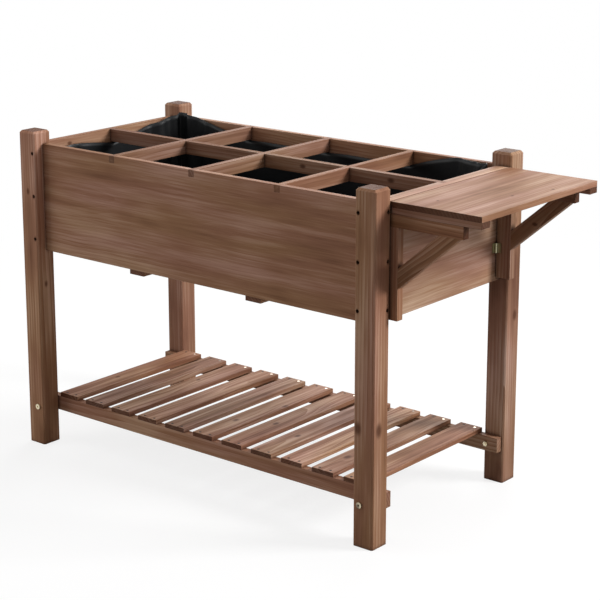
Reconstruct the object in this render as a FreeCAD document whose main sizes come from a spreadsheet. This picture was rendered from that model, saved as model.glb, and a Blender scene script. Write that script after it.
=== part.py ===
import FreeCAD, Part
import Sketcher
import os
import re

# Elevated wooden planter with a slatted shelf and a folding side table, in millimetres.
# X runs along the planter with the table at +X, -Y is the front and Z is up.
# The origin is on the floor, under the middle of the whole piece with the table up.

os.makedirs("parts", exist_ok=True)
doc = FreeCAD.newDocument("planter")

FLOOR_BOARDS = 4
SHELF_SLATS = 11
CROSS_DIVIDERS = 3
FLOOR_BATTENS = 2
SCREWS_PER_JOINT = 3

DRIVING = {
    # frame
    "frame_length": 1020, "frame_depth": 530, "frame_height": 750,
    "leg_size": 50, "leg_chamfer": 5, "leg_ease": 3,
    # planting box
    "panel_thick": 14, "panel_height": 250, "panel_drop": 30,
    "front_recess": 26, "end_recess": 20, "tongue": 9, "fit_gap": 0.2,
    "divider_thick": 15, "divider_height": 30, "lap_gap": 0.3,
    "floor_thick": 10, "floor_wall_gap": 1.5, "floor_slit": 4,
    "batten_width": 42, "batten_thick": 11, "batten_inset": 2,
    "liner_thick": 1.5, "liner_gap": 1, "liner_below_divider": 3,
    # shelf
    "rail_height": 34, "rail_thick": 18, "rail_bottom": 75, "rail_short": 5,
    "slat_thick": 10, "slat_width": 57, "slat_side_gap": 6,
    # folding table
    "table_reach": 212, "table_thick": 12, "table_end_gap": 2,
    "table_rail_thick": 16, "table_rail_gap": 2.5,
    "cleat_width": 28, "cleat_thick": 13, "cleat_setback": 2,
    # folding brackets
    "bracket_thick": 18, "post_width": 36, "bracket_rise": 8, "bracket_wall_gap": 1,
    "rest_gap": 0.3, "arm_height": 26, "arm_reach": 171,
    "brace_width": 32, "brace_foot": 66, "brace_run": 146,
    # hinges of the brackets
    "pin_radius": 1.5, "knuckle_radius": 2.8, "hinge_offset": 3.2, "leaf_thick": 1.2,
    "leaf_width": 11, "hinge_height": 21.5, "hinge_rise": 66, "knuckle_gap": 0.3, "run_gap": 0.05,
    # hinges of the table
    "table_pin_radius": 1, "table_knuckle_radius": 2.2, "table_hinge_offset": 2.6,
    "table_leaf_width": 9.5, "table_leaf_relief": 3, "table_hinge_length": 40, "table_hinge_inset": 90,
    # fasteners
    "screw_sink": 8, "screw_head_radius": 3.5, "screw_head": 3, "screw_radius": 1.8, "screw_length": 22,
    "screw_inset": 7.5, "screw_end_rise": 30, "screw_top_drop": 20, "hole_gap": 0.15, "sink_gap": 0.4,
    "bolt_radius": 3, "bolt_head_radius": 6.5, "bolt_head": 3.5, "bolt_socket_radius": 2.4,
    "bolt_socket": 2, "bolt_inset": 17, "nut_radius": 5.8, "nut_height": 5, "bolt_tail": 2,
    "nail_head_radius": 3, "nail_head": 0.8, "nail_radius": 1.1, "nail_length": 24, "nail_inset": 14,
    "hinge_screw_head_radius": 2, "hinge_screw_head": 0.6, "hinge_screw_radius": 1,
    "hinge_screw_length": 7, "hinge_screw_rise": 7, "table_screw_spread": 13,
    # how far a cutter runs past the face that it starts from or comes out of
    "overrun": 1,
}

DERIVED = {
    "x_left": "-(frame_length + table_reach) / 2",
    "x_right": "x_left + frame_length",
    "y_front": "-frame_depth / 2",
    "y_back": "frame_depth / 2",
    "panel_top": "frame_height - panel_drop",
    "panel_bottom": "panel_top - panel_height",
    "divider_bottom": "panel_top - divider_height",
    "divider_tongue": "divider_height / 2",
    "inside_x": "end_recess + panel_thick",
    "inside_y": "front_recess + panel_thick",
    "bay_length": "(frame_length - 2 * inside_x) / %d" % (CROSS_DIVIDERS + 1),
    "floor_x": "leg_size + floor_wall_gap",
    "floor_y": "leg_size + floor_wall_gap",
    "floor_board_width": "(frame_depth - 2 * floor_y - %d * floor_slit) / %d"
    % (FLOOR_BOARDS - 1, FLOOR_BOARDS),
    "floor_top": "panel_bottom + floor_thick",
    "liner_x": "leg_size + liner_gap",
    "liner_y": "leg_size + liner_gap",
    "liner_height": "divider_bottom - liner_below_divider - floor_top",
    "rail_top": "rail_bottom + rail_height",
    "bolt_level": "rail_bottom + rail_height / 2",
    "slat_pitch": "(frame_length - 2 * leg_size - 2 * slat_side_gap - slat_width) / %d" % (SHELF_SLATS - 1),
    "screw_pitch": "(panel_height - screw_end_rise - screw_top_drop) / %d" % (SCREWS_PER_JOINT - 1),
    "table_rail_face": "x_right - end_recess + table_rail_thick",
    "table_inner": "table_rail_face + table_rail_gap",
    "table_width": "x_right + table_reach - table_inner",
    "table_length": "frame_depth - 2 * leg_size - 2 * table_end_gap",
    "table_under": "panel_top - table_thick",
    "cleat_under": "table_under - cleat_thick",
    "bracket_bottom": "panel_bottom + bracket_rise",
    "bracket_top": "cleat_under - rest_gap",
    "arm_bottom": "bracket_top - arm_height",
    "post_x": "x_right - end_recess + bracket_wall_gap",
    "brace_x": "post_x + post_width",
    "arm_length": "x_right + arm_reach - post_x",
    "bracket_side": "leg_size + table_end_gap",
    "brace_rise": "arm_bottom - bracket_bottom - brace_foot",
    "brace_slope": "brace_rise / brace_run",
    "brace_cut": "brace_width * sqrt(1 + brace_slope * brace_slope)",
    "brace_top_run": "(brace_rise - brace_cut) / brace_slope",
    "hinge_x": "x_right - end_recess + hinge_offset",
    "hinge_side": "bracket_side + bracket_thick + hinge_offset",
    "knuckle_height": "(hinge_height - 2 * knuckle_gap) / 3",
    "hinge_low": "bracket_bottom + hinge_rise - hinge_height / 2",
    "table_hinge_x": "table_rail_face + table_knuckle_radius + knuckle_gap",
    "table_hinge_z": "table_under - table_hinge_offset",
    "table_knuckle": "(table_hinge_length - 2 * knuckle_gap) / 3",
}

sheet = doc.addObject("Spreadsheet::Sheet", "dims")
for row, (alias, value) in enumerate(list(DRIVING.items()) + list(DERIVED.items()), start=1):
    sheet.set("A%d" % row, alias)
    sheet.setAlias("B%d" % row, alias)
    formula = value if isinstance(value, str) else None
    sheet.set("B%d" % row, "=" + formula if formula else str(value))
doc.recompute()

ALIASES = set(DRIVING) | set(DERIVED)
WORD = re.compile(r"[a-z][a-z_]*")


def to_sheet(text):
    """An expression in the sheet's names, written so that a document object can use it."""
    return WORD.sub(lambda word: "dims." + word[0] if word[0] in ALIASES else word[0], text)


def bind(obj, **properties):
    for name, text in properties.items():
        obj.setExpression(name.replace("__", "."), to_sheet(text))


def place(obj, at):
    bind(obj, Placement__Base__x=at[0], Placement__Base__y=at[1], Placement__Base__z=at[2])


# The turn that takes a cylinder's own Z axis to each direction.
TURNS = {
    "+z": FreeCAD.Rotation(),
    "-z": FreeCAD.Rotation(FreeCAD.Vector(1, 0, 0), 180),
    "+y": FreeCAD.Rotation(FreeCAD.Vector(1, 0, 0), -90),
    "-y": FreeCAD.Rotation(FreeCAD.Vector(1, 0, 0), 90),
    "+x": FreeCAD.Rotation(FreeCAD.Vector(0, 1, 0), 90),
    "-x": FreeCAD.Rotation(FreeCAD.Vector(0, 1, 0), -90),
}


def box(size, at):
    obj = doc.addObject("Part::Box", "box")
    bind(obj, Length=size[0], Width=size[1], Height=size[2])
    place(obj, at)
    return obj


def rod(radius, height, at, way="+z"):
    obj = doc.addObject("Part::Cylinder", "rod")
    bind(obj, Radius=radius, Height=height)
    obj.Placement = FreeCAD.Placement(FreeCAD.Vector(), TURNS[way])
    place(obj, at)
    return obj


def fuse(pieces):
    if len(pieces) == 1:
        return pieces[0]
    obj = doc.addObject("Part::MultiFuse", "fuse")
    obj.Shapes = pieces
    obj.Refine = True
    return obj


def cut(base, tools):
    obj = doc.addObject("Part::Cut", "cut")
    obj.Base = base
    obj.Tool = fuse(tools)
    obj.Refine = True
    return obj


def group(pieces):
    obj = doc.addObject("Part::Compound", "group")
    obj.Links = pieces
    return obj


nodes = []
# An edge closer than this to a level lies on it.
TOUCH = 1e-6


def node(name, obj):
    obj.Label = name
    nodes.append(obj)
    return obj


def from_x(side, distance, size="0"):
    """Low X of a piece of that size which starts at a distance inside the legs' outer face."""
    return f"x_left + ({distance})" if side == "left" else f"x_right - ({distance}) - ({size})"


def from_y(side, distance, size="0"):
    return f"y_front + ({distance})" if side == "front" else f"y_back - ({distance}) - ({size})"


def step(at, way, distance):
    """The point a distance further along a direction."""
    axis = "xyz".index(way[1])
    moved = list(at)
    moved[axis] = f"{at[axis]} {way[0]} ({distance})"
    return tuple(moved)


def fastener(at, way, head_radius, head, radius, length):
    """A headed pin: the head's outer face is at the given point and the shank runs along the way."""
    return fuse([
        rod(head_radius, head, at, way),
        rod(radius, f"{head} + {length}", at, way),
    ])


ALONG_X = 0
ALONG_Y = 1
INWARD_X = {"left": "+x", "right": "-x"}
INWARD_Y = {"front": "+y", "back": "-y"}
SIDES_X = ("left", "right")
SIDES_Y = ("front", "back")

# Fastener places: the point on the outer face and the way in.


def panel_screw_places(side_x, side_y):
    """Screws of one leg: three into the long panel's end and three into the end panel's end."""
    places = []
    for index in range(SCREWS_PER_JOINT):
        level = f"panel_bottom + screw_end_rise + {index} * screw_pitch"
        into_long = (from_x(side_x, "leg_size - screw_inset"), from_y(side_y, "0"), level)
        into_end = (from_x(side_x, "0"), from_y(side_y, "leg_size - screw_inset"), level)
        places.append((into_long, INWARD_Y[side_y]))
        places.append((into_end, INWARD_X[side_x]))
    return places


def screw_holes(side_x, side_y, way_axis="xy"):
    tools = []
    for at, way in panel_screw_places(side_x, side_y):
        if way[1] not in way_axis:
            continue
        seat = "screw_sink + screw_head"
        tools.append(rod("screw_head_radius + sink_gap", f"{seat} + hole_gap", at, way))
        tools.append(rod("screw_radius + hole_gap", f"{seat} + screw_length + overrun", at, way))
    return tools


def bolt_place(side_x, side_y):
    at = (from_x(side_x, "leg_size - bolt_inset"), from_y(side_y, "0"), "bolt_level")
    return at, INWARD_Y[side_y]


def bolt_hole(side_x, side_y):
    at, way = bolt_place(side_x, side_y)
    return rod("bolt_radius + hole_gap", "leg_size + rail_thick + overrun", at, way)


def bevel(base, size_name, wanted):
    """Bevels the edges of a solid that the test picks out."""
    doc.recompute()
    obj = doc.addObject("Part::Chamfer", "bevel")
    obj.Base = base
    size = DRIVING[size_name]
    obj.Edges = [(number, size, size)
                 for number, edge in enumerate(base.Shape.Edges, start=1) if wanted(edge)]
    return obj


def make_leg(side_x, side_y):
    post = box(("leg_size", "leg_size", "frame_height"),
               (from_x(side_x, "0", "leg_size"), from_y(side_y, "0", "leg_size"), "0"))
    top = DRIVING["frame_height"]
    eased = bevel(post, "leg_ease", lambda edge: edge.BoundBox.ZLength > top / 2)
    capped = bevel(eased, "leg_chamfer", lambda edge: edge.BoundBox.ZMin > top - TOUCH)
    deep = "tongue + fit_gap + overrun"
    wide = "panel_thick + 2 * fit_gap"
    tall = "panel_height + 2 * fit_gap"
    long_groove = box((deep, wide, tall),
                      (from_x(side_x, "leg_size - tongue - fit_gap", deep),
                       from_y(side_y, "front_recess - fit_gap", wide), "panel_bottom - fit_gap"))
    end_groove = box((wide, deep, tall),
                     (from_x(side_x, "end_recess - fit_gap", wide),
                      from_y(side_y, "leg_size - tongue - fit_gap", deep), "panel_bottom - fit_gap"))
    tools = [long_groove, end_groove, bolt_hole(side_x, side_y)] + screw_holes(side_x, side_y)
    node(f"leg_{side_y}_{side_x}", cut(capped, tools))


for side_y in SIDES_Y:
    for side_x in SIDES_X:
        make_leg(side_x, side_y)


def divider_x(index):
    """Middle of a cross divider along X."""
    return f"x_left + inside_x + {index} * bay_length"


def slot(axis, middle, size, low):
    """A cutter for a slot across a board, centred on middle along one axis. The rest is for the other two."""
    size = list(size)
    low = list(low)
    size.insert(axis, "divider_thick + 2 * fit_gap")
    low.insert(axis, f"{middle} - divider_thick / 2 - fit_gap")
    return box(size, low)


def make_long_panel(side_y):
    """Front or back panel: its ends stand in the legs' grooves and its top edge takes the cross dividers."""
    low_y = from_y(side_y, "front_recess", "panel_thick")
    panel = box(("frame_length - 2 * leg_size + 2 * tongue", "panel_thick", "panel_height"),
                ("x_left + leg_size - tongue", low_y, "panel_bottom"))
    tools = [slot(ALONG_X, divider_x(index), ("panel_thick + 2 * overrun", "divider_tongue + overrun"),
                  (f"{low_y} - overrun", "panel_top - divider_tongue - lap_gap"))
             for index in range(1, CROSS_DIVIDERS + 1)]
    for side_x in SIDES_X:
        tools += screw_holes(side_x, side_y, "y")
    node(f"{side_y}_panel", cut(panel, tools))


def make_end_panel(side_x):
    low_x = from_x(side_x, "end_recess", "panel_thick")
    panel = box(("panel_thick", "frame_depth - 2 * leg_size + 2 * tongue", "panel_height"),
                (low_x, "y_front + leg_size - tongue", "panel_bottom"))
    tools = [slot(ALONG_Y, "0", ("panel_thick + 2 * overrun", "divider_tongue + overrun"),
                  (f"{low_x} - overrun", "panel_top - divider_tongue - lap_gap"))]
    for side_y in SIDES_Y:
        tools += screw_holes(side_x, side_y, "x")
    if side_x == "right":
        for side_y in SIDES_Y:
            tools += small_holes(bracket_screw_places("fixed", side_y))
    node(f"{side_x}_end_panel", cut(panel, tools))


def small_holes(places):
    """Holes for a hinge's screws, through its leaf and into the wood."""
    depth = "hinge_screw_head + leaf_thick + hinge_screw_length + overrun"
    return [rod("hinge_screw_radius + hole_gap", depth, at, way) for at, way in places]


def bracket_screw_places(leaf, side_y):
    """Two screws in one leaf of a bracket's hinge, from the leaf's face into the wood."""
    places = []
    outward = "+" if side_y == "front" else "-"
    for rise in ("hinge_screw_rise", "hinge_height - hinge_screw_rise"):
        level = f"hinge_low + {rise}"
        middle = "(leaf_width + hinge_offset) / 2"
        axis_y = from_y(side_y, "hinge_side")
        if leaf == "fixed":
            at = ("x_right - end_recess + leaf_thick + hinge_screw_head",
                  f"{axis_y} {outward} {middle}", level)
            places.append((at, "-x"))
        else:
            face = from_y(side_y, "hinge_side - hinge_offset + leaf_thick + hinge_screw_head")
            places.append(((f"hinge_x + {middle}", face, level), "-y" if side_y == "front" else "+y"))
    return places


for side_y in SIDES_Y:
    make_long_panel(side_y)
for side_x in SIDES_X:
    make_end_panel(side_x)


def make_dividers():
    """One long divider and the cross dividers, half lapped, with tongues let into the panels' top edges."""
    long_tongue = box(("frame_length - 2 * end_recess", "divider_thick", "divider_tongue"),
                      ("x_left + end_recess", "-divider_thick / 2", "panel_top - divider_tongue"))
    long_blade = box(("frame_length - 2 * inside_x - 2 * lap_gap", "divider_thick", "divider_height"),
                     ("x_left + inside_x + lap_gap", "-divider_thick / 2", "divider_bottom"))
    laps = [slot(ALONG_X, divider_x(index), ("divider_thick + 2 * overrun", "divider_tongue + overrun"),
                 ("-divider_thick / 2 - overrun", "panel_top - divider_tongue - lap_gap / 2"))
            for index in range(1, CROSS_DIVIDERS + 1)]
    node("long_divider", cut(fuse([long_tongue, long_blade]), laps))
    for index in range(1, CROSS_DIVIDERS + 1):
        low_x = f"{divider_x(index)} - divider_thick / 2"
        tongue = box(("divider_thick", "frame_depth - 2 * front_recess", "divider_tongue"),
                     (low_x, "y_front + front_recess", "panel_top - divider_tongue"))
        blade = box(("divider_thick", "frame_depth - 2 * inside_y - 2 * lap_gap", "divider_height"),
                    (low_x, "y_front + inside_y + lap_gap", "divider_bottom"))
        lap = slot(ALONG_Y, "0", ("divider_thick + 2 * overrun", "divider_tongue + lap_gap / 2 + overrun"),
                   (f"{low_x} - overrun", "divider_bottom - overrun"))
        node(f"cross_divider_{index}", cut(fuse([tongue, blade]), [lap]))


make_dividers()


def make_floor():
    for index in range(FLOOR_BOARDS):
        node(f"floor_board_{index + 1}",
             box(("frame_length - 2 * floor_x", "floor_board_width", "floor_thick"),
                 ("x_left + floor_x", f"y_front + floor_y + {index} * (floor_board_width + floor_slit)",
                  "panel_bottom")))
    for index in range(1, FLOOR_BATTENS + 1):
        middle = f"x_left + {index} * frame_length / {FLOOR_BATTENS + 1}"
        node(f"floor_batten_{index}",
             box(("batten_width", "frame_depth - 2 * front_recess - 2 * batten_inset", "batten_thick"),
                 (f"{middle} - batten_width / 2", "y_front + front_recess + batten_inset",
                  "panel_bottom - batten_thick")))


def make_liner():
    """The sheet liner as a plain open tray under the dividers."""
    size = ("frame_length - 2 * liner_x", "frame_depth - 2 * liner_y")
    outer = box((size[0], size[1], "liner_height"), ("x_left + liner_x", "y_front + liner_y", "floor_top"))
    inner = box((f"{size[0]} - 2 * liner_thick", f"{size[1]} - 2 * liner_thick", "liner_height"),
                ("x_left + liner_x + liner_thick", "y_front + liner_y + liner_thick",
                 "floor_top + liner_thick"))
    node("liner", cut(outer, [inner]))


make_floor()
make_liner()


def slat_x(index):
    return f"x_left + leg_size + slat_side_gap + {index} * slat_pitch"


def nail_places(index, side_y):
    """Two nails at one end of a slat."""
    at_y = from_y(side_y, "leg_size + rail_thick / 2")
    top = "rail_top + slat_thick"
    return [((f"{slat_x(index)} + {inset}", at_y, top), "-z")
            for inset in ("nail_inset", "slat_width - nail_inset")]


def make_shelf():
    nails = []
    for side_y in SIDES_Y:
        rail = box(("frame_length - 2 * rail_short", "rail_thick", "rail_height"),
                   ("x_left + rail_short", from_y(side_y, "leg_size", "rail_thick"), "rail_bottom"))
        tools = [bolt_hole(side_x, side_y) for side_x in SIDES_X]
        for index in range(SHELF_SLATS):
            for at, way in nail_places(index, side_y):
                tools.append(rod("nail_radius + hole_gap", "nail_head + nail_length + overrun", at, way))
        node(f"shelf_rail_{side_y}", cut(rail, tools))
    for index in range(SHELF_SLATS):
        slat = box(("slat_width", "frame_depth - 2 * leg_size", "slat_thick"),
                   (slat_x(index), "y_front + leg_size", "rail_top"))
        tools = []
        for at, way in nail_places(index, "front") + nail_places(index, "back"):
            tools.append(rod("nail_head_radius + hole_gap", "nail_head", at, way))
            tools.append(rod("nail_radius + hole_gap", "slat_thick + overrun", at, way))
            nails.append(fastener(at, way, "nail_head_radius", "nail_head", "nail_radius", "nail_length"))
        node(f"shelf_slat_{index + 1:02d}", cut(slat, tools))
    node("slat_nails", group(nails))


make_shelf()


def table_hinge_y(side_y):
    """Middle of one of the table's hinges along Y."""
    return from_y(side_y, "bracket_side + table_hinge_inset")


def table_screw_places(leaf, side_y):
    """Two screws in one leaf of a table hinge: into the rail's outer face, or up into the table top."""
    reach = "(table_leaf_width + table_leaf_relief) / 2"
    if leaf == "fixed":
        at_x, level, way = "table_rail_face + leaf_thick + hinge_screw_head", f"table_hinge_z - {reach}", "-x"
    else:
        at_x, level, way = f"table_hinge_x + {reach}", "table_under - leaf_thick - hinge_screw_head", "+z"
    return [((at_x, f"{table_hinge_y(side_y)} {sign} table_screw_spread", level), way) for sign in "+-"]


def make_table():
    rail = box(("table_rail_thick", "table_length", "table_thick + cleat_thick"),
               ("x_right - end_recess", "y_front + bracket_side", "cleat_under"))
    fixed = table_screw_places("fixed", "front") + table_screw_places("fixed", "back")
    node("table_rail", cut(rail, small_holes(fixed)))
    top = box(("table_width", "table_length", "table_thick"),
              ("table_inner", "y_front + bracket_side", "table_under"))
    moving = table_screw_places("moving", "front") + table_screw_places("moving", "back")
    node("table_top", cut(top, small_holes(moving)))
    for side_y in SIDES_Y:
        low_y = from_y(side_y, "bracket_side", "cleat_width")
        node(f"table_cleat_{side_y}",
             box(("table_width - cleat_setback", "cleat_width", "cleat_thick"),
                 ("table_inner + cleat_setback", low_y, "cleat_under")))


make_table()


def make_brace(side_y):
    """Diagonal with a plumb cut on the post and a level cut under the arm."""
    body = doc.addObject("PartDesign::Body", "brace")
    sketch = body.newObject("Sketcher::SketchObject", "outline")
    plane = next(item for item in body.Origin.OriginFeatures if item.Role == "XZ_Plane")
    sketch.AttachmentSupport = [(plane, "")]
    sketch.MapMode = "FlatFace"
    plumb, level = sheet.get("brace_cut"), sheet.get("brace_rise")
    corners = [FreeCAD.Vector(), FreeCAD.Vector(0, plumb), FreeCAD.Vector(sheet.get("brace_top_run"), level),
               FreeCAD.Vector(sheet.get("brace_run"), level)]
    for corner, following in zip(corners, corners[1:] + corners[:1]):
        sketch.addGeometry(Part.LineSegment(corner, following), False)
    # Lines in order: plumb cut, upper edge, level cut, lower edge. Each starts at point 1 and ends at 2.
    first, upper, third, lower = range(len(corners))
    start, end, origin = 1, 2, -1
    for line, following in ((first, upper), (upper, third), (third, lower), (lower, first)):
        sketch.addConstraint(Sketcher.Constraint("Coincident", line, end, following, start))
    sketch.addConstraint(Sketcher.Constraint("Coincident", first, start, origin, start))
    sketch.addConstraint(Sketcher.Constraint("Vertical", first))
    sketch.addConstraint(Sketcher.Constraint("Horizontal", third))
    sizes = [("DistanceY", first, end, "brace_cut"), ("DistanceY", third, start, "brace_rise"),
             ("DistanceX", third, start, "brace_top_run"), ("DistanceX", third, end, "brace_run")]
    for kind, line, point, name in sizes:
        size = Sketcher.Constraint(kind, origin, start, line, point, sheet.get(name))
        sketch.setExpression(f"Constraints[{sketch.addConstraint(size)}]", to_sheet(name))
    pad = body.newObject("PartDesign::Pad", "thickness")
    pad.Profile = sketch
    bind(pad, Length="bracket_thick")
    body.Tip = pad
    place(body, ("brace_x", from_y(side_y, "bracket_side", "bracket_thick") + " + bracket_thick",
                 "bracket_bottom + brace_foot"))
    node(f"bracket_{side_y}_brace", body)


def make_bracket(side_y):
    """A post with the arm across its top, and a brace between them."""
    low_y = from_y(side_y, "bracket_side", "bracket_thick")
    post = box(("post_width", "bracket_thick", "arm_bottom - bracket_bottom"),
               ("post_x", low_y, "bracket_bottom"))
    node(f"bracket_{side_y}_post", cut(post, small_holes(bracket_screw_places("moving", side_y))))
    node(f"bracket_{side_y}_arm", box(("arm_length", "bracket_thick", "arm_height"),
                                      ("post_x", low_y, "arm_bottom")))
    make_brace(side_y)


for side_y in SIDES_Y:
    make_bracket(side_y)


def make_bracket_hinge(side_y):
    """A butt hinge: the fixed leaf on the end panel, the moving leaf on the post's inner face."""
    axis_y = from_y(side_y, "hinge_side")
    away = side_y == "front"
    levels = ["hinge_low", "hinge_low + knuckle_height + knuckle_gap",
              "hinge_low + 2 * (knuckle_height + knuckle_gap)"]
    fixed = [box(("leaf_thick", "leaf_width - hinge_offset", "hinge_height"),
                 ("x_right - end_recess",
                  f"{axis_y} + hinge_offset" if away else f"{axis_y} - leaf_width", "hinge_low"))]
    moving = [box(("leaf_width - hinge_offset", "leaf_thick", "hinge_height"),
                  ("hinge_x + hinge_offset",
                   from_y(side_y, "hinge_side - hinge_offset", "leaf_thick"), "hinge_low"))]
    for level, pieces in zip(levels, (fixed, moving, fixed)):
        if pieces is fixed:
            bridge = box(("leaf_thick", "hinge_offset", "knuckle_height"),
                         ("x_right - end_recess", axis_y if away else f"{axis_y} - hinge_offset", level))
        else:
            bridge = box(("hinge_offset", "leaf_thick", "knuckle_height"),
                         ("hinge_x", from_y(side_y, "hinge_side - hinge_offset", "leaf_thick"), level))
        pieces += [bridge, rod("knuckle_radius", "knuckle_height", ("hinge_x", axis_y, level))]
    bore = ("hinge_x", axis_y, "hinge_low - overrun")
    for name, pieces in (("fixed", fixed), ("moving", moving)):
        holes = [rod("pin_radius + run_gap", "hinge_height + 2 * overrun", bore)]
        holes += small_holes(bracket_screw_places(name, side_y))
        node(f"bracket_{side_y}_hinge_{name}_leaf", cut(fuse(pieces), holes))
    node(f"bracket_{side_y}_hinge_pin",
         rod("pin_radius", "hinge_height", ("hinge_x", axis_y, "hinge_low")))


for side_y in SIDES_Y:
    make_bracket_hinge(side_y)


def make_table_hinges():
    """Two hinges under the joint: one leaf on the rail's outer face, the other under the table top."""
    leaves = {"fixed": [], "moving": []}
    pins = []
    for side_y in SIDES_Y:
        low_y = f"{table_hinge_y(side_y)} - table_hinge_length / 2"
        levels = [low_y, f"{low_y} + table_knuckle + knuckle_gap",
                  f"{low_y} + 2 * (table_knuckle + knuckle_gap)"]
        wide = "table_leaf_width - table_leaf_relief"
        under = "table_under - leaf_thick"
        pieces = {"fixed": [box(("leaf_thick", "table_hinge_length", wide),
                                ("table_rail_face", low_y, "table_hinge_z - table_leaf_width"))],
                  "moving": [box((wide, "table_hinge_length", "leaf_thick"),
                                 ("table_hinge_x + table_leaf_relief", low_y, under))]}
        for level, name in zip(levels, ("fixed", "moving", "fixed")):
            if name == "fixed":
                bridge = box(("leaf_thick", "table_knuckle", "table_leaf_relief"),
                             ("table_rail_face", level, "table_hinge_z - table_leaf_relief"))
            else:
                bridge = box(("table_leaf_relief", "table_knuckle", "leaf_thick"),
                             ("table_hinge_x", level, under))
            pieces[name] += [bridge, rod("table_knuckle_radius", "table_knuckle",
                                         ("table_hinge_x", level, "table_hinge_z"), "+y")]
        bore = ("table_hinge_x", f"{low_y} - overrun", "table_hinge_z")
        for name in leaves:
            holes = [rod("table_pin_radius + run_gap", "table_hinge_length + 2 * overrun", bore, "+y")]
            holes += small_holes(table_screw_places(name, side_y))
            leaves[name].append(cut(fuse(pieces[name]), holes))
        pins.append(rod("table_pin_radius", "table_hinge_length",
                        ("table_hinge_x", low_y, "table_hinge_z"), "+y"))
    node("table_hinge_fixed_leaves", group(leaves["fixed"]))
    node("table_hinge_moving_leaves", group(leaves["moving"]))
    node("table_hinge_pins", group(pins))


make_table_hinges()


def make_fasteners():
    screws = []
    bolts = []
    nuts = []
    for side_y in SIDES_Y:
        for side_x in SIDES_X:
            for at, way in panel_screw_places(side_x, side_y):
                screws.append(fastener(step(at, way, "screw_sink"), way, "screw_head_radius", "screw_head",
                                       "screw_radius", "screw_length"))
            at, way = bolt_place(side_x, side_y)
            out = {"+y": "-y", "-y": "+y"}[way]
            head = step(at, out, "bolt_head")
            socket = doc.addObject("Part::Prism", "socket")
            bind(socket, Circumradius="bolt_socket_radius", Height="bolt_socket")
            socket.Placement = FreeCAD.Placement(FreeCAD.Vector(), TURNS[way])
            place(socket, head)
            length = "leg_size + rail_thick + nut_height + bolt_tail"
            bolt = fastener(head, way, "bolt_head_radius", "bolt_head", "bolt_radius", length)
            bolts.append(cut(bolt, [socket]))
            nut = doc.addObject("Part::Prism", "nut")
            bind(nut, Circumradius="nut_radius", Height="nut_height")
            nut.Placement = FreeCAD.Placement(FreeCAD.Vector(), TURNS[way])
            seat = step(at, way, "leg_size + rail_thick")
            place(nut, seat)
            bore = step(seat, way, "-overrun")
            nuts.append(cut(nut, [rod("bolt_radius + run_gap", "nut_height + 2 * overrun", bore, way)]))
    node("panel_screws", group(screws))
    node("shelf_bolts", group(bolts))
    node("shelf_nuts", group(nuts))
    hinge_screw = ("hinge_screw_head_radius", "hinge_screw_head", "hinge_screw_radius",
                   "leaf_thick + hinge_screw_length - overrun")
    frame = []
    table = []
    for side_y in SIDES_Y:
        frame += bracket_screw_places("fixed", side_y) + table_screw_places("fixed", side_y)
        table += table_screw_places("moving", side_y)
        swung = bracket_screw_places("moving", side_y)
        node(f"hinge_screws_bracket_{side_y}", group([fastener(at, way, *hinge_screw) for at, way in swung]))
    node("hinge_screws_frame", group([fastener(at, way, *hinge_screw) for at, way in frame]))
    node("hinge_screws_table", group([fastener(at, way, *hinge_screw) for at, way in table]))


make_fasteners()

doc.recompute()
for obj in doc.Objects:
    if "Invalid" in obj.State or "Error" in obj.State:
        raise RuntimeError(f"{obj.Label}: {obj.State}")
for obj in nodes:
    if obj.Shape.isNull() or not obj.Shape.isValid() or not obj.Shape.Solids:
        raise RuntimeError(f"{obj.Label}: no valid solid")
    obj.Shape.exportStep(f"parts/{obj.Label}.step")
print(len(nodes), "nodes")
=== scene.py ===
import math
import random

import bmesh
import bpy
from mathutils import Euler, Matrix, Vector, noise


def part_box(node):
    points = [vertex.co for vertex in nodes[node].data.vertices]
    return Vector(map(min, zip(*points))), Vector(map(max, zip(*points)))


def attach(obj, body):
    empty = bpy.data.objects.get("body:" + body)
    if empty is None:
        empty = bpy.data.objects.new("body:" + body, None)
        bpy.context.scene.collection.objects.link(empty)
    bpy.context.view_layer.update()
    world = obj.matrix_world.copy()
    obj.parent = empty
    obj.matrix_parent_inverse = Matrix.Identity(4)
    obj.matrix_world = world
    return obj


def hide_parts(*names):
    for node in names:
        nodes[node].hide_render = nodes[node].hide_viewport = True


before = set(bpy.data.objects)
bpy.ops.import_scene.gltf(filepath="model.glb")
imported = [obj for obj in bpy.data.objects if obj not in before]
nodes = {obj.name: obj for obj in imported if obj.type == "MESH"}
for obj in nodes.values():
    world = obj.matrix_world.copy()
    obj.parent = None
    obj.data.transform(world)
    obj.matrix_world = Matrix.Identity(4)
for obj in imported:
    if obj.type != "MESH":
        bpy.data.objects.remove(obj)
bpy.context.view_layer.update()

# The planter's wood and metal stay as the frame gives them, and get their stain, grain and finish here.
# The liner's plain tray is replaced by a sheet that leans on the panels and gathers in the corners.

MM = 0.001
scene = bpy.context.scene


def linear(colour):
    """An sRGB hex colour as linear RGBA."""
    channels = [int(colour[i:i + 2], 16) / 255 for i in (1, 3, 5)]
    return [c / 12.92 if c <= 0.04045 else ((c + 0.055) / 1.055) ** 2.4 for c in channels] + [1.0]


def feed(tree, node, inputs):
    """Gives each of a node's inputs its value, or links it to the output that is given."""
    for socket, value in inputs.items():
        if isinstance(value, bpy.types.NodeSocket):
            tree.links.new(value, node.inputs[socket])
        else:
            node.inputs[socket].default_value = value


def add(tree, kind, inputs=None, **settings):
    """A node with its settings and inputs."""
    made = tree.nodes.new(kind)
    for name, value in settings.items():
        setattr(made, name, value)
    feed(tree, made, inputs or {})
    return made


def empty_tree(owner):
    """The node tree of a material or world, with nothing in it."""
    owner.use_nodes = True
    owner.node_tree.nodes.clear()
    return owner.node_tree


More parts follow.
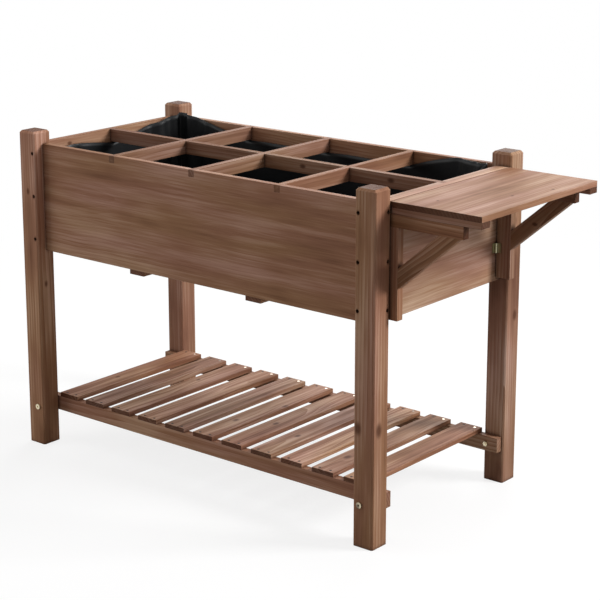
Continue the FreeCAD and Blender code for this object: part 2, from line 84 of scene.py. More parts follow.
def new_material(name):
    """A material with its shader and output, and nothing else."""
    material = bpy.data.materials.new(name)
    tree = empty_tree(material)
    shader = add(tree, "ShaderNodeBsdfPrincipled")
    add(tree, "ShaderNodeOutputMaterial", {"Surface": shader.outputs[0]})
    return material, tree, shader


def dress(name, material):
    for slot in nodes[name].material_slots:
        slot.link = "OBJECT"
        slot.material = material


# Wood

GROWTH_RING = 7.0 * MM
WAVE_PERIOD = 2 * math.pi / 20      # of a wave texture whose scale is 1
TRUNK = 9.0                         # boards come from anywhere this far up or down a trunk, in metres
HEART_SIDE = 35 * MM

# The lumps of each pattern in the wood: their length along the grain, their width, and their detail.
LUMPS = {
    "fibre": (80 * MM, 2.4 * MM, 2.0),      # real fibres are finer: this is the least that shows
    "streak": (620 * MM, 15 * MM, 2.0),
    "blotch": (240 * MM, 75 * MM, 2.0),
    "tint": (330 * MM, 60 * MM, 1.0),       # patches where the stain dried ruddy or tawny
    "wander": (420 * MM, 90 * MM, 2.0),     # how fast the rings leave their circle
}
MEAN_NOISE = 0.5

# How much each pattern lightens the wood, how much the rings darken it, and the blotches that the rings fade
# in over.
SHARES = {"fibre": 0.25, "streak": 0.42, "blotch": 0.67}
RING_SHARE = 0.3
RINGS_FADE_IN = (0.4, 0.62)
# Boards that took the stain less evenly, by how their names start: how much more each pattern shows on them.
UNEVEN = {
    "shelf_slat": {"fibre": 1.6, "streak": 1.6, "blotch": 1.5},
    "leg": {"fibre": 0.85, "streak": 0.85, "blotch": 1.7},
}

# How a board was sawn from its trunk: the length over which the trunk loses one ring, how far the rings
# wander, and how far the heart lies from the board's middle, through it and to its side.
SAWN = {
    "flat": (450 * MM, 20 * MM, (30 * MM, 75 * MM), (0, 0)),
    "straight": (1900 * MM, 7 * MM, (90 * MM, 140 * MM), (90 * MM, 140 * MM)),
}

# The turn that lays each grain direction along the pattern's X.
ALONG = {
    "X": (0, 0, 0),
    "Y": (0, 0, -math.pi / 2),
    "Z": (0, math.pi / 2, 0),
}

STAIN = {
    "dark": "#6B4A3A",
    "middle": "#97745F",
    "light": "#B89B8B",
    "end": "#42261A",
    "end_ring": "#573626",
    "knot": "#4B2817",
    # paler eased edges: partly rubbed wear, partly a painted highlight
    "worn_and_highlit": "#AA8A73",
    # dark joints, and the painted shade in corners and recesses
    "joint_and_shade": "#2C1810",
}
RUDDY = "#FFF1EE"
TAWNY = "#FFF8E5"
TINT_FADE = (0.35, 0.65)
# The shades at which the wood has each of its three colours.
SHADES = {"dark": 0.36, "middle": 0.6, "light": 0.81}

WARMTH_SPREAD = 0.06
# Boards warmer than the rest: warmer stain, and on the front bracket, in shade, painted bounce light.
WARMER_STAIN_AND_BOUNCE = {
    "bracket_front_arm": 0.16,
    "bracket_front_post": 0.07,
    "bracket_front_brace": 0.04,
    "leg_front_left": 0.04,
    "front_panel": 0.015,
}

THIN_BOARD = 30 * MM            # a knot goes right through anything thinner
KNOT_THROUGH = 0.1
KNOT_ALONG = 0.6                # a knot's dark swirl is longer along the grain
KNOT_FADE = (2.1, 0.9)          # in knot radii, from clear wood to the knot's full colour
KNOT_STAIN = 0.8
END_FADE = (0.75, 0.95)         # how squarely a face has to cross the grain to be end grain
END_STAIN = 0.85
PALE_END_STAIN = 0.35
PALE_ENDS = ("cross_divider", "shelf_rail")
EASED_EDGE = 1.6 * MM
EDGE_FADE = (0.99, 0.85)        # cosine of the turn from a face to the eased edge beside it
# how much paler the eased edges are painted: partly wear, partly a painted highlight
EDGE_WEAR_AND_HIGHLIGHT = 0.25
PAINTED_SHADE_REACH = 14 * MM           # how far the painted shade reaches out of a corner
PAINTED_SHADE_FADE = (0.8, 0.35)        # the open air left over a point there
# how dark the painted shade gets
PAINTED_SHADE_STRENGTH = 0.75
EDGE_SAMPLES = 6
ROUGHNESS = (0.72, 0.58)        # of the darkest and the lightest wood
RELIEF = 0.8 * MM
SHINE = 0.11                    # of a pale board: a dark one has drunk more stain and shines less


def stained_fir(name, turn, tone, cut, figure, knots):
    """Sawn fir under a thin brown stain.

    The stain sinks into the soft early wood, so rings, streaks and fibres show darker and lighter along the
    board. End grain drinks more of it and is dark, corners and recesses are darkened with painted shade, and
    eased edges are painted paler, partly as rubbed wear and partly as a painted highlight.
    Low satin sheen. Tone is the board's lightness beside the rest, cut the way it was sawn, and figure how
    strongly its rings show.
    """
    draw = random.Random(name)
    low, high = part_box(name)
    size = high - low
    thin = min(range(3), key=lambda axis: size[axis])
    long = max(range(3), key=lambda axis: size[axis])
    side = 3 - thin - long
    # random warmth plus the listed warmth, which on the front bracket is painted bounce light
    warmth = draw.uniform(-WARMTH_SPREAD, WARMTH_SPREAD) + WARMER_STAIN_AND_BOUNCE.get(name, 0)

    def stain(kind):
        red, green, blue, _ = linear(STAIN[kind])
        return (tone * red, tone * green * (1 - warmth), tone * blue * (1 - 2 * warmth), 1.0)

    lost_ring, wander_depth, depth, aside = SAWN[cut]
    heart = (low + high) / 2
    heart[thin] += draw.choice((-1, 1)) * draw.uniform(*depth)
    heart[side] += draw.choice((-1, 1)) * draw.uniform(*aside) + draw.uniform(-HEART_SIDE, HEART_SIDE)
    to_heart = Euler(turn).to_matrix() @ -heart

    material, tree, shader = new_material("stained_fir_" + name)
    place = add(tree, "ShaderNodeTexCoord")
    log = add(tree, "ShaderNodeMapping", {
        "Vector": place.outputs["Object"],
        "Rotation": turn,
        "Location": to_heart + Vector((draw.uniform(-TRUNK, TRUNK), 0, 0)),
    }).outputs[0]
    lumps = {}
    for pattern, (length, width, detail) in LUMPS.items():
        scaled = add(tree, "ShaderNodeVectorMath", {0: log, 1: (1 / length, 1 / width, 1 / width)},
                     operation="MULTIPLY")
        lumps[pattern] = add(tree, "ShaderNodeTexNoise",
                             {"Vector": scaled.outputs[0], "Scale": 1.0, "Detail": detail})
    blotch = lumps["blotch"].outputs["Fac"]

    # Rings round the heart, bent by noise that swings to both sides, and fewer of them up the trunk.
    swing = add(tree, "ShaderNodeVectorMath", {0: lumps["wander"].outputs["Color"], 1: [MEAN_NOISE] * 3},
                operation="SUBTRACT")
    bent = add(tree, "ShaderNodeVectorMath",
               {0: swing.outputs[0], 1: (0, 2 * wander_depth, 2 * wander_depth), 2: log},
               operation="MULTIPLY_ADD")
    along = add(tree, "ShaderNodeSeparateXYZ", {0: log})
    taper = add(tree, "ShaderNodeMath", {0: along.outputs["X"], 1: 2 * math.pi / lost_ring},
                operation="MULTIPLY")
    rings = add(tree, "ShaderNodeTexWave",
                {"Vector": bent.outputs[0], "Scale": WAVE_PERIOD / GROWTH_RING,
                 "Phase Offset": taper.outputs[0]},
                wave_type="RINGS", rings_direction="X", wave_profile="SAW").outputs["Fac"]
    clear = add(tree, "ShaderNodeMapRange",
                {"Value": blotch, "From Min": RINGS_FADE_IN[0], "From Max": RINGS_FADE_IN[1]})
    patchy = add(tree, "ShaderNodeMath", {0: rings, 1: clear.outputs[0]}, operation="MULTIPLY")

    uneven = next((more for start, more in UNEVEN.items() if name.startswith(start)), {})
    layers = [(patchy.outputs[0], -RING_SHARE * figure)]
    shade = 0.0
    for pattern, share in SHARES.items():
        more = uneven.get(pattern, 1)
        layers.append((lumps[pattern].outputs["Fac"], share * more))
        shade += MEAN_NOISE * share * (1 - more)        # keeps the board's mean shade
    for layer, weight in layers:
        shade = add(tree, "ShaderNodeMath", {0: layer, 1: weight, 2: shade},
                    operation="MULTIPLY_ADD").outputs[0]
    ramp = add(tree, "ShaderNodeValToRGB", {"Fac": shade})
    stops = ramp.color_ramp.elements
    stops.new(0.5)
    for stop, (kind, position) in zip(stops, SHADES.items()):
        stop.position = position
        stop.color = stain(kind)
    dried = add(tree, "ShaderNodeMapRange", {"Value": lumps["tint"].outputs["Fac"],
                                             "From Min": TINT_FADE[0], "From Max": TINT_FADE[1]})
    tint = add(tree, "ShaderNodeMix", {0: dried.outputs[0], 6: linear(RUDDY), 7: linear(TAWNY)},
               data_type="RGBA")
    colour = add(tree, "ShaderNodeMix", {0: 1.0, 6: ramp.outputs["Color"], 7: tint.outputs[2]},
                 data_type="RGBA", blend_type="MULTIPLY").outputs[2]

    squeeze = Vector((1, 1, 1))
    if size[thin] < THIN_BOARD:
        squeeze[thin] = KNOT_THROUGH
    squeeze[long] = KNOT_ALONG
    for centre, radius in knots:
        offset = add(tree, "ShaderNodeVectorMath", {0: place.outputs["Object"], 1: centre},
                     operation="SUBTRACT")
        squeezed = add(tree, "ShaderNodeVectorMath", {0: offset.outputs[0], 1: squeeze}, operation="MULTIPLY")
        reach = add(tree, "ShaderNodeVectorMath", {0: squeezed.outputs[0]}, operation="LENGTH")
        ragged = add(tree, "ShaderNodeMath", {0: blotch, 1: radius, 2: reach.outputs["Value"]},
                     operation="MULTIPLY_ADD")
        inside = add(tree, "ShaderNodeMapRange",
                     {"Value": ragged.outputs[0], "From Min": KNOT_FADE[0] * radius,
                      "From Max": KNOT_FADE[1] * radius, "To Max": KNOT_STAIN},
                     interpolation_type="SMOOTHSTEP")
        colour = add(tree, "ShaderNodeMix", {0: inside.outputs[0], 6: colour, 7: stain("knot")},
                     data_type="RGBA").outputs[2]

    facing = add(tree, "ShaderNodeMapping", {"Vector": place.outputs["Normal"], "Rotation": turn})
    across = add(tree, "ShaderNodeSeparateXYZ", {0: facing.outputs[0]})
    end = add(tree, "ShaderNodeMath", {0: across.outputs["X"]}, operation="ABSOLUTE")
    sawn = add(tree, "ShaderNodeMapRange",
               {"Value": end.outputs[0], "From Min": END_FADE[0], "From Max": END_FADE[1],
                "To Max": PALE_END_STAIN if name.startswith(PALE_ENDS) else END_STAIN})
    rounded = add(tree, "ShaderNodeBevel", {"Radius": EASED_EDGE}, samples=EDGE_SAMPLES)
    flat = add(tree, "ShaderNodeNewGeometry")
    turned = add(tree, "ShaderNodeVectorMath", {0: rounded.outputs[0], 1: flat.outputs["Normal"]},
                 operation="DOT_PRODUCT")
    edge = add(tree, "ShaderNodeMapRange", {"Value": turned.outputs["Value"], "From Min": EDGE_FADE[0],
                                            "From Max": EDGE_FADE[1]}).outputs[0]
    # Eased edges painted paler: partly rubbed wear, partly a painted highlight.
    rubbed_and_highlit = add(tree, "ShaderNodeMath", {0: edge, 1: EDGE_WEAR_AND_HIGHLIGHT}, operation="MULTIPLY")
    ringed = add(tree, "ShaderNodeMix", {0: rings, 6: stain("end_ring"), 7: stain("end")}, data_type="RGBA")
    outline = add(tree, "ShaderNodeMath", {0: edge, 1: sawn.outputs[0]}, operation="MULTIPLY")
    # Painted shade: ambient occlusion darkens corners, recesses and the gaps between parts.
    open_air = add(tree, "ShaderNodeAmbientOcclusion", {"Distance": PAINTED_SHADE_REACH}, samples=EDGE_SAMPLES)
    painted_shade = add(tree, "ShaderNodeMapRange",
                 {"Value": open_air.outputs["AO"], "From Min": PAINTED_SHADE_FADE[0], "From Max": PAINTED_SHADE_FADE[1],
                  "To Max": PAINTED_SHADE_STRENGTH})
    for share, finish in (
        (rubbed_and_highlit, stain("worn_and_highlit")),
        (sawn, ringed.outputs[2]),
        (outline, stain("joint_and_shade")),
        (painted_shade, stain("joint_and_shade")),
    ):
        colour = add(tree, "ShaderNodeMix", {0: share.outputs[0], 6: colour, 7: finish},
                     data_type="RGBA").outputs[2]

    rough = add(tree, "ShaderNodeMapRange",
                {"Value": shade, "From Min": SHADES["dark"], "From Max": SHADES["light"],
                 "To Min": ROUGHNESS[0], "To Max": ROUGHNESS[1]})
    relief = add(tree, "ShaderNodeBump", {"Height": shade, "Strength": 0.3, "Distance": RELIEF,
                                          "Normal": rounded.outputs[0]})
    feed(tree, shader, {
        "Base Color": colour,
        "Roughness": rough.outputs[0],
        "Normal": relief.outputs[0],
        "Specular IOR Level": SHINE * min(1, tone) ** 2,
    })
    return material


# Each kind of board: how its name starts, its grain, its tone beside the rest, how far boards of its kind
# differ in tone, how they were sawn, and how strongly their rings show. A brace's grain climbs with it.
BOARDS = (
    ("leg_front_left", "Z", 1.18, 0.0, "straight", 0.8),
    ("leg_front_right", "Z", 0.96, 0.0, "straight", 0.8),
    ("leg_back", "Z", 1.0, 0.03, "straight", 0.8),
    ("front_panel", "X", 1.0, 0.0, "flat", 0.35),
    ("back_panel", "X", 1.0, 0.05, "flat", 0.6),
    ("left_end_panel", "Y", 1.05, 0.05, "flat", 0.7),
    ("right_end_panel", "Y", 1.08, 0.0, "flat", 0.35),
    ("long_divider", "X", 0.78, 0.0, "straight", 0.9),
    ("cross_divider", "Y", 0.87, 0.06, "straight", 0.9),
    ("floor_board", "X", 1.0, 0.1, "flat", 0.8),
    ("floor_batten", "Y", 1.3, 0.1, "straight", 0.8),
    ("shelf_rail", "X", 1.0, 0.05, "straight", 0.7),
    ("shelf_slat", "Y", 1.02, 0.16, "flat", 0.85),
    ("table_rail", "Y", 1.3, 0.0, "straight", 0.6),
    ("table_top", "Y", 0.94, 0.0, "straight", 0.45),
    ("table_cleat", "X", 0.85, 0.05, "straight", 0.8),
    ("bracket_front_post", "Z", 0.95, 0.0, "straight", 0.8),
    ("bracket_back_post", "Z", 0.8, 0.0, "straight", 0.8),
    ("bracket_front_arm", "X", 0.82, 0.0, "straight", 0.8),
    ("bracket_back_arm", "X", 0.75, 0.0, "straight", 0.8),
    ("bracket_front_brace", None, 0.8, 0.0, "flat", 0.8),
    ("bracket_back_brace", None, 0.75, 0.0, "flat", 0.8),
)

# Knots, in millimetres: centre and radius.
KNOTS = {
    "leg_front_right": (((365, -265, 255), 8), ((404, -247, 254), 8.5)),
    "leg_back_right": (((404, 247, 384), 6), ((404, 236, 598), 6)),
    "leg_front_left": (((-592, -265, 610), 4), ((-566, -243, 390), 5)),
    "leg_back_left": (((-594, 265, 300), 6),),
    "long_divider": (((11, -7, 706), 4.5), ((250, 7, 707), 5)),
    "left_end_panel": (((-590, -140, 705), 4), ((-590, 110, 560), 8)),
    "back_panel": (((-260, 232, 610), 9), ((190, 232, 530), 7)),
    "table_top": (((559, -20, 714), 2.5), ((590, 83, 714), 3), ((470, -150, 714), 2)),
    "shelf_slat_01": (((-537, -47, 114), 4),),
    "shelf_slat_03": (((-370, 60, 114), 4),),
    "shelf_slat_06": (((-110, -98, 114), 6), ((-84, 45, 114), 5)),
    "shelf_slat_07": (((-25, -58, 114), 5),),
    "shelf_slat_08": (((64, -89, 114), 5),),
    "shelf_slat_10": (((228, -122, 114), 6),),
    "bracket_back_brace": (((480, 209, 610), 4),),
}

# The sunk screws in the legs, in millimetres, with a dark spot round each, like a small knot.
SCREW_LEVELS = (500, 600, 700)
SCREW_INSET = 42.5              # from the leg's outer faces
SCREW_SPOT = 3.2


def screw_spots(name):
    """Dark spots round the screws in a leg's two outer faces, as centres and radii like KNOTS."""
    low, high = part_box(name)
    left = "left" in name
    front = "front" in name
    face_x = (low.x if left else high.x) / MM
    face_y = (low.y if front else high.y) / MM
    screw_x = face_x + (SCREW_INSET if left else -SCREW_INSET)
    screw_y = face_y + (SCREW_INSET if front else -SCREW_INSET)
    for level in SCREW_LEVELS:
        yield (screw_x, face_y, level), SCREW_SPOT
        yield (face_x, screw_y, level), SCREW_SPOT


def climb(name):
    """The turn for a piece whose grain climbs along its own diagonal."""
    low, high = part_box(name)
    return (0, math.atan2(high.z - low.z, high.x - low.x), 0)


def dress_boards():
    for start, grain, tone, spread, cut, figure in BOARDS:
        for name in sorted(n for n in nodes if n.startswith(start)):
            own_tone = tone * (1 + random.Random(name).uniform(-spread, spread))
            turn = ALONG[grain] if grain else climb(name)
            spots = list(KNOTS.get(name, ()))
            if name.startswith("leg"):
                spots += screw_spots(name)
            knots = [(Vector(centre) * MM, radius * MM) for centre, radius in spots]
            dress(name, stained_fir(name, turn, own_tone, cut, figure, knots))


# Metal

ZINC_GRIT = 1.2 * MM
ZINC_PATCH = 36 * MM            # wide enough that a whole bolt is dulled or bright
PHOSPHATE_GRAIN = 1.0 * MM
NAIL_PATCH = 22 * MM
ROLLING_LINE = 0.8 * MM         # real ones are finer: this is the least that shows
ROLLING_LENGTH = 12 * MM


def zinc_plated_steel():
    """Turned steel under yellowish zinc: pale, satin, and some pieces dulled by the weather."""
    material, tree, shader = new_material("zinc_plated_steel")
    place = add(tree, "ShaderNodeTexCoord").outputs["Object"]
    grit = add(tree, "ShaderNodeTexNoise", {"Vector": place, "Scale": 1 / ZINC_GRIT}).outputs["Fac"]
    rough = add(tree, "ShaderNodeMapRange", {"Value": grit, "To Min": 0.25, "To Max": 0.5})
    patches = add(tree, "ShaderNodeTexNoise", {"Vector": place, "Scale": 1 / ZINC_PATCH})
    dulled = add(tree, "ShaderNodeMapRange", {"Value": patches.outputs["Fac"], "From Min": 0.46,
                                              "From Max": 0.56, "To Max": 0.85})
    bright = add(tree, "ShaderNodeMix", {0: grit, 6: linear("#B9AC90"), 7: linear("#EADFC2")},
                 data_type="RGBA")
    tint = add(tree, "ShaderNodeMix", {0: dulled.outputs[0], 6: bright.outputs[2], 7: linear("#4A3F38")},
               data_type="RGBA")
    feed(tree, shader, {"Base Color": tint.outputs[2], "Roughness": rough.outputs[0], "Metallic": 1.0})
    return material


def phosphated_steel():
    """Screws from a black phosphate bath: almost black, with a dry grey bloom."""
    material, tree, shader = new_material("phosphated_steel")
    place = add(tree, "ShaderNodeTexCoord").outputs["Object"]
    bloom = add(tree, "ShaderNodeTexNoise", {"Vector": place, "Scale": 1 / PHOSPHATE_GRAIN}).outputs["Fac"]
    tint = add(tree, "ShaderNodeMix", {0: bloom, 6: linear("#141211"), 7: linear("#2C2826")},
               data_type="RGBA")
    rough = add(tree, "ShaderNodeMapRange", {"Value": bloom, "To Min": 0.5, "To Max": 0.75})
    feed(tree, shader, {"Base Color": tint.outputs[2], "Roughness": rough.outputs[0], "Metallic": 0.6})
    return material


def steel_nail():
    """Plain wire nails driven flush.

    The front row is dark brown. At the back each slat's left nail is dark brown too, and its right one is
    bright steel, some of them less so.
    """
    low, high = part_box("shelf_slat_01")
    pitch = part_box("shelf_slat_02")[0].x - low.x
    material, tree, shader = new_material("steel_nail")
    place = add(tree, "ShaderNodeTexCoord").outputs["Object"]
    at = add(tree, "ShaderNodeSeparateXYZ", {0: place})
    from_first = add(tree, "ShaderNodeMath", {0: at.outputs["X"], 1: low.x}, operation="SUBTRACT")
    across = add(tree, "ShaderNodeMath", {0: from_first.outputs[0], 1: pitch}, operation="MODULO")
    right = add(tree, "ShaderNodeMath", {0: across.outputs[0], 1: (high.x - low.x) / 2},
                operation="GREATER_THAN")
    back = add(tree, "ShaderNodeMath", {0: at.outputs["Y"], 1: 0.0}, operation="GREATER_THAN")
    back_right_nail = add(tree, "ShaderNodeMath", {0: right.outputs[0], 1: back.outputs[0]}, operation="MULTIPLY")
    patches = add(tree, "ShaderNodeTexNoise", {"Vector": place, "Scale": 1 / NAIL_PATCH, "Detail": 0.0})
    kept = add(tree, "ShaderNodeMapRange", {"Value": patches.outputs["Fac"], "From Min": 0.35,
                                            "From Max": 0.5, "To Min": 0.4})
    bare = add(tree, "ShaderNodeMath", {0: back_right_nail.outputs[0], 1: kept.outputs[0]},
               operation="MULTIPLY").outputs[0]
    tint = add(tree, "ShaderNodeMix", {0: bare, 6: linear("#2A1A13"), 7: linear("#C2B3A2")},
               data_type="RGBA")
    rough = add(tree, "ShaderNodeMapRange", {"Value": bare, "To Min": 0.8, "To Max": 0.35})
    feed(tree, shader, {"Base Color": tint.outputs[2], "Roughness": rough.outputs[0], "Metallic": bare})
    return material


def brass_plate():
    """Thin rolled brass, dulled by handling: pale greenish gold, rolling lines along the leaf."""
    material, tree, shader = new_material("brass_plate")
    place = add(tree, "ShaderNodeTexCoord").outputs["Object"]
    lines = add(tree, "ShaderNodeMapping",
                {"Vector": place, "Scale": (1 / ROLLING_LINE, 1 / ROLLING_LINE, 1 / ROLLING_LENGTH)})
    rolled = add(tree, "ShaderNodeTexNoise",
                 {"Vector": lines.outputs[0], "Scale": 1.0, "Detail": 3.0}).outputs["Fac"]
    tint = add(tree, "ShaderNodeMix", {0: rolled, 6: linear("#6F6A52"), 7: linear("#BDB699")},
               data_type="RGBA")
    rough = add(tree, "ShaderNodeMapRange", {"Value": rolled, "To Min": 0.25, "To Max": 0.4})
    feed(tree, shader, {"Base Color": tint.outputs[2], "Roughness": rough.outputs[0], "Metallic": 1.0})
    return material


def dress_metal():
    zinc = zinc_plated_steel()
    fasteners = {
        "panel_screws": phosphated_steel(),
        "slat_nails": steel_nail(),
        "shelf_bolts": zinc,
        "shelf_nuts": zinc,
    }
    for name, finish in fasteners.items():
        dress(name, finish)
    brass = brass_plate()
    for name in nodes:
        if "hinge" in name:
            dress(name, brass)


# Liner

LINER_SHEET = 1.0 * MM
LINER_CELL = 9 * MM
FELT_FIBRE = 2.5 * MM           # real ones are finer: this is the least that shows
FELT_RELIEF = 0.6 * MM

# The floor. Counts of waves here and below are in a metre.
FLOOR_CREASE = 7 * MM
FLOOR_CREASES = (9, 23)         # wide ones, and others half as deep
FLOOR_EDGE = 30 * MM            # from a wall, over which the floor gets flat

# The walls, which take on their folds and their lean over the lowest third of their height.
WALL_STEPS = 24
FOOT_SHARE = 1 / 3
PANEL_GAP = 2 * MM              # left between the sheet and the panel that it leans on
LEG_BEND = (25 * MM, 80 * MM)   # from the corner: where the sheet leaves the leg, and meets the panel
RIPPLE = 3 * MM
RIPPLES = 9
RIPPLES_UP = 2.2
RIPPLE_IN = 0.5                 # ripples stand in from the wall more than out
CORNER_ROUND = 14 * MM
CORNER_FOLD = 15 * MM
CORNER_FOLDS = 24
CORNER_FOLDS_UP = 0.5
CORNER_REACH = 130 * MM         # as far as there are folds
FOLD_SHARPNESS = 3

# The sheet's edge.
RIM_LEVEL = 2 * MM              # above the sheet's solid, between the dividers
RIM_WAVE = 2 * MM
RIM_WAVES = 7
RIM_LAYER = 3                   # of the noise that makes the waves
DIVIDER_REACH = 60 * MM         # from a divider, over which the edge gets free
# Each corner of the edge, in millimetres: how far it stands above the plain level, where it starts to fall
# and has fallen along the long wall and along the end wall, and how hollow its slope is, below 1 a bulge.
CORNER_RISE = {
    "back_left": (44, (30, 218), (0, 218), 1.3),
    "back_right": (33, (95, 218), (8, 55), 0.85),
    "front_left": (21, (10, 205), (10, 205), 1.0),
    "front_right": (12, (10, 150), (10, 150), 1.0),
}


def black_nonwoven():
    """Spun polypropylene felt: matt black, with a faint blue-grey bloom where its folds turn to the light."""
    material, tree, shader = new_material("black_nonwoven")
    place = add(tree, "ShaderNodeTexCoord").outputs["Object"]
    fibres = add(tree, "ShaderNodeTexNoise", {"Vector": place, "Scale": 1 / FELT_FIBRE, "Detail": 4.0,
                                              "Distortion": 1.5}).outputs["Fac"]
    felt = add(tree, "ShaderNodeMix", {0: fibres, 6: linear("#08090A"), 7: linear("#17191B")},
               data_type="RGBA")
    relief = add(tree, "ShaderNodeBump", {"Height": fibres, "Strength": 0.3, "Distance": FELT_RELIEF})
    feed(tree, shader, {
        "Base Color": felt.outputs[2],
        "Normal": relief.outputs[0],
        "Roughness": 0.46,
        "Specular IOR Level": 0.24,
        "Sheen Weight": 0.02,
        "Sheen Roughness": 0.4,
        "Sheen Tint": linear("#8C99A6"),
    })
    return material


def clamp(value):
    """The value, kept between 0 and 1."""
    return min(1, max(0, value))


def middle_x(name):
    low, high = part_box(name)
    return (low.x + high.x) / 2


def rim_lift(corner, on_end, from_corner):
    """How far the sheet's edge stands above its plain level, this far along the wall from the corner."""
    rise, long_wall, end_wall, hollow = CORNER_RISE[corner]
    starts, ends = end_wall if on_end else long_wall
    left = clamp((ends * MM - from_corner) / ((ends - starts) * MM))
    return rise * MM * left ** hollow


def round_corner(flat, half):
    """Draws a point of the wall in, so that the wall's corner is round in plan."""
    over = Vector((max(0, abs(flat.x) - half.x + CORNER_ROUND), max(0, abs(flat.y) - half.y + CORNER_ROUND)))
    if min(over) > 0 and over.length > CORNER_ROUND:
        back = over.normalized() * (over.length - CORNER_ROUND)
        flat.x -= math.copysign(back.x, flat.x)
        flat.y -= math.copysign(back.y, flat.y)


def crease_floor(floor, half):
    """Raises soft creases in the sheet's floor, away from its walls."""
    wide, narrow = FLOOR_CREASES
    for vert in floor:
        from_wall = min(half.x - abs(vert.co.x), half.y - abs(vert.co.y))
        crease = abs(noise.noise(vert.co * wide)) + 0.5 * abs(noise.noise(vert.co * narrow))
        vert.co.z = FLOOR_CREASE * crease * clamp(from_wall / FLOOR_EDGE)


def hang_walls(walls, half, middle, height):
    """Stands the sheet's walls up, leaning on the panels between the legs and folded at the corners.

    Each vert of walls comes with its share of the wall's height.
    """
    dividers = [middle_x(f"cross_divider_{i}") - middle.x for i in (1, 2, 3)]
    to_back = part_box("back_panel")[0].y - middle.y - half.y - PANEL_GAP
    to_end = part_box("right_end_panel")[0].x - middle.x - half.x - PANEL_GAP
    for vert, rise in walls.items():
        flat = Vector((vert.co.x, vert.co.y))
        corner = f"{'back' if flat.y > 0 else 'front'}_{'left' if flat.x < 0 else 'right'}"
        from_end = half.x - abs(flat.x)
        from_side = half.y - abs(flat.y)
        from_corner = from_end + from_side
        on_end = from_end < from_side
        from_divider = abs(flat.y) if on_end else min(abs(flat.x - x) for x in dividers)
        wave = RIM_LEVEL + RIM_WAVE * noise.noise(Vector((flat.x * RIM_WAVES, flat.y * RIM_WAVES, RIM_LAYER)))
        top = height + clamp(from_divider / DIVIDER_REACH) * wave + rim_lift(corner, on_end, from_corner)

        round_corner(flat, half)
        near_corner = clamp(1 - from_corner / CORNER_REACH)
        folds = Vector((flat.x * CORNER_FOLDS, flat.y * CORNER_FOLDS, rise * CORNER_FOLDS_UP))
        fold = 1 - FOLD_SHARPNESS * abs(noise.noise(folds))
        ripple = noise.noise(Vector((flat.x * RIPPLES, flat.y * RIPPLES, rise * RIPPLES_UP)))
        above_foot = clamp(rise / FOOT_SHARE)
        push = (CORNER_FOLD * near_corner * fold + RIPPLE * (ripple + RIPPLE_IN)) * above_foot
        past_leg = clamp((from_corner - LEG_BEND[0]) / (LEG_BEND[1] - LEG_BEND[0]))
        lean = (to_end if on_end else to_back) * past_leg * above_foot
        inward = max(0, push) - lean
        if on_end:
            flat.x -= math.copysign(1, flat.x) * inward
        else:
            flat.y -= math.copysign(1, flat.y) * inward
        vert.co = Vector((flat.x, flat.y, rise * top))


def make_liner():
    low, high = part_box("liner")
    middle = (low + high) / 2
    size = high - low
    half = Vector((size.x / 2 - LINER_SHEET, size.y / 2 - LINER_SHEET))
    shape = bmesh.new()
    bmesh.ops.create_grid(shape, x_segments=round(size.x / LINER_CELL), y_segments=round(size.y / LINER_CELL),
                          size=1.0)
    bmesh.ops.scale(shape, vec=(half.x, half.y, 1), verts=shape.verts)
    floor = list(shape.verts)
    walls = {}
    edge = [e for e in shape.edges if e.is_boundary]
    for step in range(1, WALL_STEPS + 1):
        made = bmesh.ops.extrude_edge_only(shape, edges=edge)["geom"]
        edge = [g for g in made if isinstance(g, bmesh.types.BMEdge)]
        for vert in (g for g in made if isinstance(g, bmesh.types.BMVert)):
            walls[vert] = step / WALL_STEPS
    crease_floor(floor, half)
    hang_walls(walls, half, middle, size.z - LINER_SHEET)
    bmesh.ops.translate(shape, vec=(middle.x, middle.y, low.z + LINER_SHEET), verts=shape.verts)
    bmesh.ops.recalc_face_normals(shape, faces=shape.faces)
    bmesh.ops.reverse_faces(shape, faces=shape.faces)
    for face in shape.faces:
        face.smooth = True
    mesh = bpy.data.meshes.new("liner_sheet")
    shape.to_mesh(mesh)
    shape.free()
    mesh.materials.append(black_nonwoven())
    liner = bpy.data.objects.new("liner_sheet", mesh)
    scene.collection.objects.link(liner)
    wall = liner.modifiers.new("thickness", "SOLIDIFY")
    wall.thickness = LINER_SHEET
    wall.offset = 1
    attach(liner, "frame")
    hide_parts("liner")


# Stage

WHITE = "#FFFFFF"
FLOOR_SIZE = 120.0
SHADOW_REACH = (1.0, 2.4)       # the floor keeps shadows as far as the first, and is plain from the second
NEAR_GLOW = 0.8                 # of the floor round the planter: lamplight makes it up to white
FILL = 0.28                     # strength of the white surroundings as light on the planter
IMAGE = 600
SENSOR_WIDTH = 36
CAMERA = {"place": (2438.6, -2973.3, 1494.8), "azimuth": 39.39, "elevation": 13.98, "focal": 1793.1,
          "row": 240}           # place in millimetres, focal length and the lens axis's row in pixels

# Softboxes: where each hangs, what it points at, its width and its power in watts.
SOFTBOXES = {
    "overhead": ((0.2, 0.2, 3.2), (0, 0, 0.6), 3.0, 26),
    "right": ((3.1, 1.75, 2.3), (0, 0, 0.5), 1.25, 140),
    "back": ((-1.9, 3.7, 1.7), (0.1, 0, 0.5), 2.6, 95),
    "front": ((-2.9, -2.4, 1.4), (-0.3, 0, 0.5), 2.2, 36),
}


def seen_directly(tree):
    """1 for rays that show the backdrop to the eye, straight, mirrored or through glass."""
    path = add(tree, "ShaderNodeLightPath")
    either = add(tree, "ShaderNodeMath", {0: path.outputs["Is Camera Ray"], 1: path.outputs["Is Glossy Ray"]},
                 operation="MAXIMUM")
    return add(tree, "ShaderNodeMath", {0: either.outputs[0], 1: path.outputs["Is Transmission Ray"]},
               operation="MAXIMUM").outputs[0]


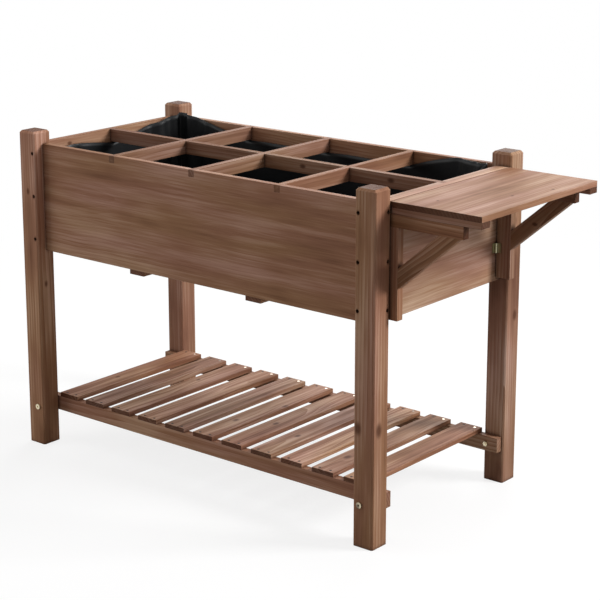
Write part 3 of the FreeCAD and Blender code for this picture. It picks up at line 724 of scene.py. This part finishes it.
def studio_floor():
    """Matt white sweep: white to the eye, less so to the wood, so that it doesn't flood it from below."""
    material = bpy.data.materials.new("studio_floor")
    tree = empty_tree(material)
    place = add(tree, "ShaderNodeTexCoord")
    out = add(tree, "ShaderNodeVectorMath", {0: place.outputs["Object"]}, operation="LENGTH")
    far = add(tree, "ShaderNodeMapRange", {"Value": out.outputs["Value"], "From Min": SHADOW_REACH[0],
                                           "From Max": SHADOW_REACH[1]}, interpolation_type="SMOOTHSTEP")
    sweep = add(tree, "ShaderNodeBsdfDiffuse", {"Color": linear("#818181")})
    glow = add(tree, "ShaderNodeEmission", {"Color": linear(WHITE), "Strength": NEAR_GLOW})
    close = add(tree, "ShaderNodeAddShader", {0: sweep.outputs[0], 1: glow.outputs[0]})
    backdrop = add(tree, "ShaderNodeEmission", {"Color": linear(WHITE), "Strength": 1.0})
    white = add(tree, "ShaderNodeMixShader", {0: far.outputs[0], 1: close.outputs[0], 2: backdrop.outputs[0]})
    bounce = add(tree, "ShaderNodeBsdfDiffuse", {"Color": linear("#9E9E9E")})
    mixed = add(tree, "ShaderNodeMixShader", {0: seen_directly(tree), 1: bounce.outputs[0],
                                              2: white.outputs[0]})
    add(tree, "ShaderNodeOutputMaterial", {"Surface": mixed.outputs[0]})
    return material


def make_stage():
    shape = bmesh.new()
    bmesh.ops.create_grid(shape, x_segments=1, y_segments=1, size=FLOOR_SIZE / 2)
    mesh = bpy.data.meshes.new("floor")
    shape.to_mesh(mesh)
    shape.free()
    mesh.materials.append(studio_floor())
    floor = bpy.data.objects.new("floor", mesh)
    scene.collection.objects.link(floor)

    world = bpy.data.worlds.new("studio")
    tree = empty_tree(world)
    strength = add(tree, "ShaderNodeMapRange", {"Value": seen_directly(tree), "To Min": FILL, "To Max": 1.0})
    backdrop = add(tree, "ShaderNodeBackground", {"Color": linear(WHITE), "Strength": strength.outputs[0]})
    add(tree, "ShaderNodeOutputWorld", {"Surface": backdrop.outputs[0]})
    scene.world = world


def make_lights():
    for name, (at, target, width, watts) in SOFTBOXES.items():
        light = bpy.data.lights.new(name, "AREA")
        light.shape = "SQUARE"
        light.size = width
        light.energy = watts
        lamp = bpy.data.objects.new(name, light)
        lamp.location = at
        lamp.rotation_euler = (Vector(target) - Vector(at)).to_track_quat("-Z", "Y").to_euler()
        scene.collection.objects.link(lamp)


def make_camera():
    data = bpy.data.cameras.new("camera")
    data.sensor_width = SENSOR_WIDTH
    data.lens = CAMERA["focal"] / IMAGE * SENSOR_WIDTH
    data.shift_y = (CAMERA["row"] - IMAGE / 2) / IMAGE
    data.clip_end = 2 * FLOOR_SIZE
    camera = bpy.data.objects.new("camera", data)
    camera.location = Vector(CAMERA["place"]) * MM
    camera.rotation_euler = (math.radians(90 - CAMERA["elevation"]), 0, math.radians(CAMERA["azimuth"]))
    scene.collection.objects.link(camera)
    scene.camera = camera


dress_boards()
dress_metal()
make_liner()
make_stage()
make_lights()
make_camera()
scene.view_settings.view_transform = "Standard"
